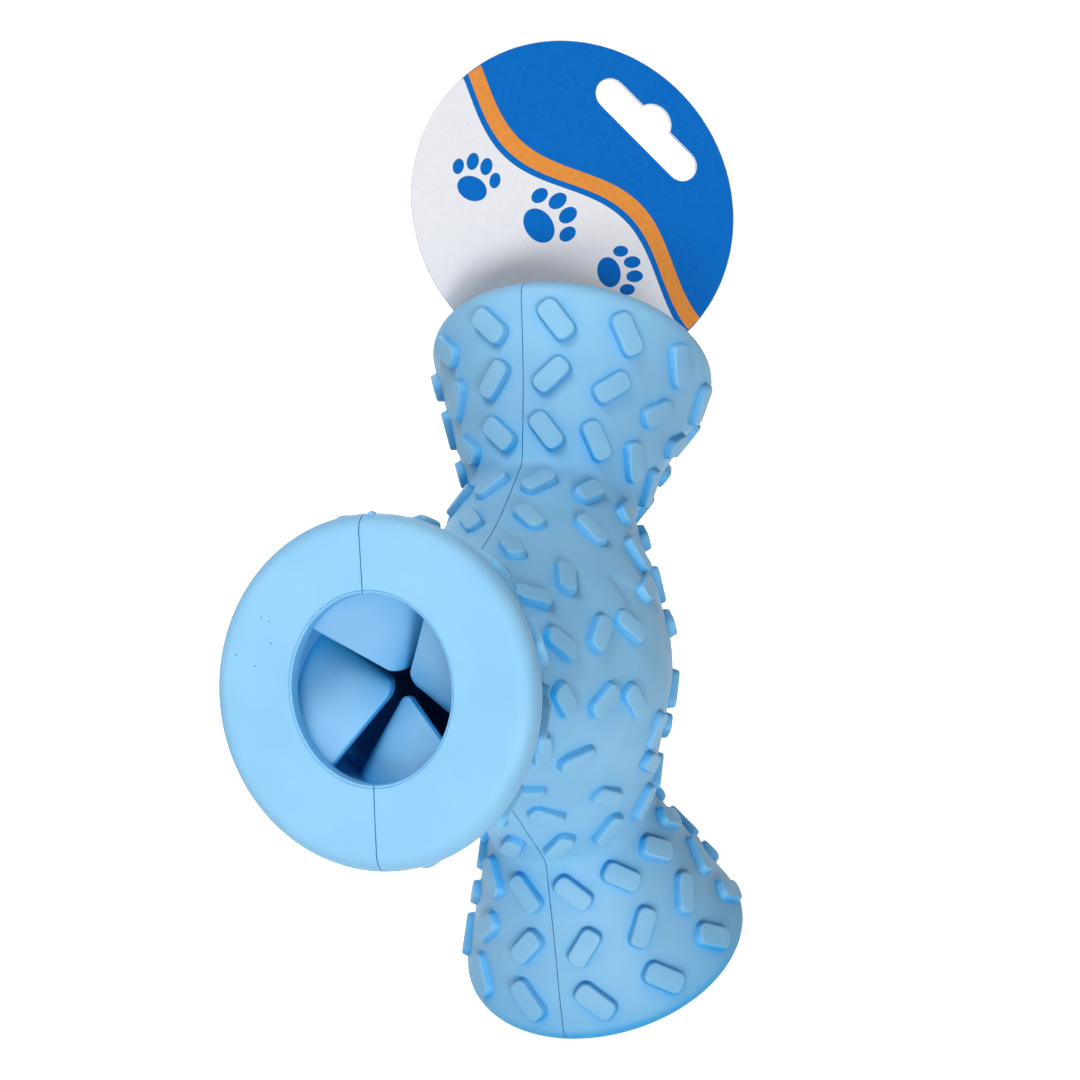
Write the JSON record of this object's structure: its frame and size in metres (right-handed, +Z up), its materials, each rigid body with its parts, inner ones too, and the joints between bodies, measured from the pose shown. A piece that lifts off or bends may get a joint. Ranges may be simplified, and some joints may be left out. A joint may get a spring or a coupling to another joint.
{
  "type": "treat dispensing dog toy",
  "caption": "Hollow rubber dog chew toy with flared arms, raised pads, slotted flap valves in its mouths that let treats in and out, and a round card hang tag.",
  "frame": {"origin": "middle of the whole model's footprint box, on the plane that the bottom arm's end face stands on", "axes": "+Z up along the bottom arm towards the hub, the three arms in the YZ plane, front arm towards -Y, back arm with the tag towards +Y"},
  "size_m": [0.0664, 0.2046, 0.1833],
  "materials": {
    "body_rubber": "satin moulded natural rubber, light blue",
    "valve_rubber": "satin moulded natural rubber, light blue",
    "tag_card": "coated printed card"
  },
  "bodies": {
    "toy_body": {"shell_left": "body_rubber", "shell_right": "body_rubber", "valve_collar_front": "valve_rubber", "valve_collar_bottom": "valve_rubber", "valve_collar_back": "valve_rubber"},
    "front_flap_1": {"flap_front_1": "valve_rubber"},
    "front_flap_2": {"flap_front_2": "valve_rubber"},
    "front_flap_3": {"flap_front_3": "valve_rubber"},
    "front_flap_4": {"flap_front_4": "valve_rubber"},
    "bottom_flap_1": {"flap_bottom_1": "valve_rubber"},
    "bottom_flap_2": {"flap_bottom_2": "valve_rubber"},
    "bottom_flap_3": {"flap_bottom_3": "valve_rubber"},
    "bottom_flap_4": {"flap_bottom_4": "valve_rubber"},
    "back_flap_1": {"flap_back_1": "valve_rubber"},
    "back_flap_2": {"flap_back_2": "valve_rubber"},
    "back_flap_3": {"flap_back_3": "valve_rubber"},
    "back_flap_4": {"flap_back_4": "valve_rubber"},
    "tag": {"hang_tag": "tag_card"}
  },
  "joints": [
    {"name": "front_flap_1_bend", "type": "hinge", "parent": "toy_body", "child": "front_flap_1", "pos_m": [0.01236, -0.07757, 0.11581], "axis": [0.1833, -0.1767, -0.967], "range_deg": [-4, 45], "stiffness_Nm_per_rad": 0.01},
    {"name": "front_flap_2_bend", "type": "hinge", "parent": "toy_body", "child": "front_flap_2", "pos_m": [-0.00245, -0.07262, 0.1244], "axis": [0.9258, 0.3779, -0.0065], "range_deg": [-4, 45], "stiffness_Nm_per_rad": 0.01},
    {"name": "front_flap_3_bend", "type": "hinge", "parent": "toy_body", "child": "front_flap_3", "pos_m": [-0.01236, -0.08002, 0.11157], "axis": [-0.1833, 0.7491, 0.6365], "range_deg": [-4, 45], "stiffness_Nm_per_rad": 0.01},
    {"name": "front_flap_4_bend", "type": "hinge", "parent": "toy_body", "child": "front_flap_4", "pos_m": [0.00245, -0.08497, 0.10299], "axis": [-0.9258, 0.1946, -0.324], "range_deg": [-4, 45], "stiffness_Nm_per_rad": 0.01},
    {"name": "bottom_flap_1_bend", "type": "hinge", "parent": "toy_body", "child": "bottom_flap_1", "pos_m": [0.01236, -0.02115, 0.00961], "axis": [0.1833, 0.9258, 0.3305], "range_deg": [-4, 45], "stiffness_Nm_per_rad": 0.01},
    {"name": "bottom_flap_2_bend", "type": "hinge", "parent": "toy_body", "child": "bottom_flap_2", "pos_m": [-0.00245, -0.03106, 0.00961], "axis": [0.9258, -0.1833, 0.3305], "range_deg": [-4, 45], "stiffness_Nm_per_rad": 0.01},
    {"name": "bottom_flap_3_bend", "type": "hinge", "parent": "toy_body", "child": "bottom_flap_3", "pos_m": [-0.01236, -0.01626, 0.00961], "axis": [-0.1833, -0.9258, 0.3305], "range_deg": [-4, 45], "stiffness_Nm_per_rad": 0.01},
    {"name": "bottom_flap_4_bend", "type": "hinge", "parent": "toy_body", "child": "bottom_flap_4", "pos_m": [0.00245, -0.00635, 0.00961], "axis": [-0.9258, 0.1833, 0.3305], "range_deg": [-4, 45], "stiffness_Nm_per_rad": 0.01},
    {"name": "back_flap_1_bend", "type": "hinge", "parent": "toy_body", "child": "back_flap_1", "pos_m": [0.01257, 0.041, 0.11436], "axis": [-0.0576, -0.7573, 0.6506], "range_deg": [-4, 45], "stiffness_Nm_per_rad": 0.01},
    {"name": "back_flap_2_bend", "type": "hinge", "parent": "toy_body", "child": "back_flap_2", "pos_m": [0.00077, 0.04767, 0.1028], "axis": [0.942, -0.315, -0.1154], "range_deg": [-4, 45], "stiffness_Nm_per_rad": 0.01},
    {"name": "back_flap_3_bend", "type": "hinge", "parent": "toy_body", "child": "back_flap_3", "pos_m": [-0.01257, 0.04177, 0.11303], "axis": [0.0576, 0.1848, -0.9811], "range_deg": [-4, 45], "stiffness_Nm_per_rad": 0.01},
    {"name": "back_flap_4_bend", "type": "hinge", "parent": "toy_body", "child": "back_flap_4", "pos_m": [-0.00077, 0.0351, 0.12458], "axis": [-0.942, -0.2574, -0.2152], "range_deg": [-4, 45], "stiffness_Nm_per_rad": 0.01},
    {"name": "tag_pull", "type": "slide", "parent": "toy_body", "child": "tag", "axis": [0, 0.866, 0.5], "range_m": [0, 0.02]}
  ]
}
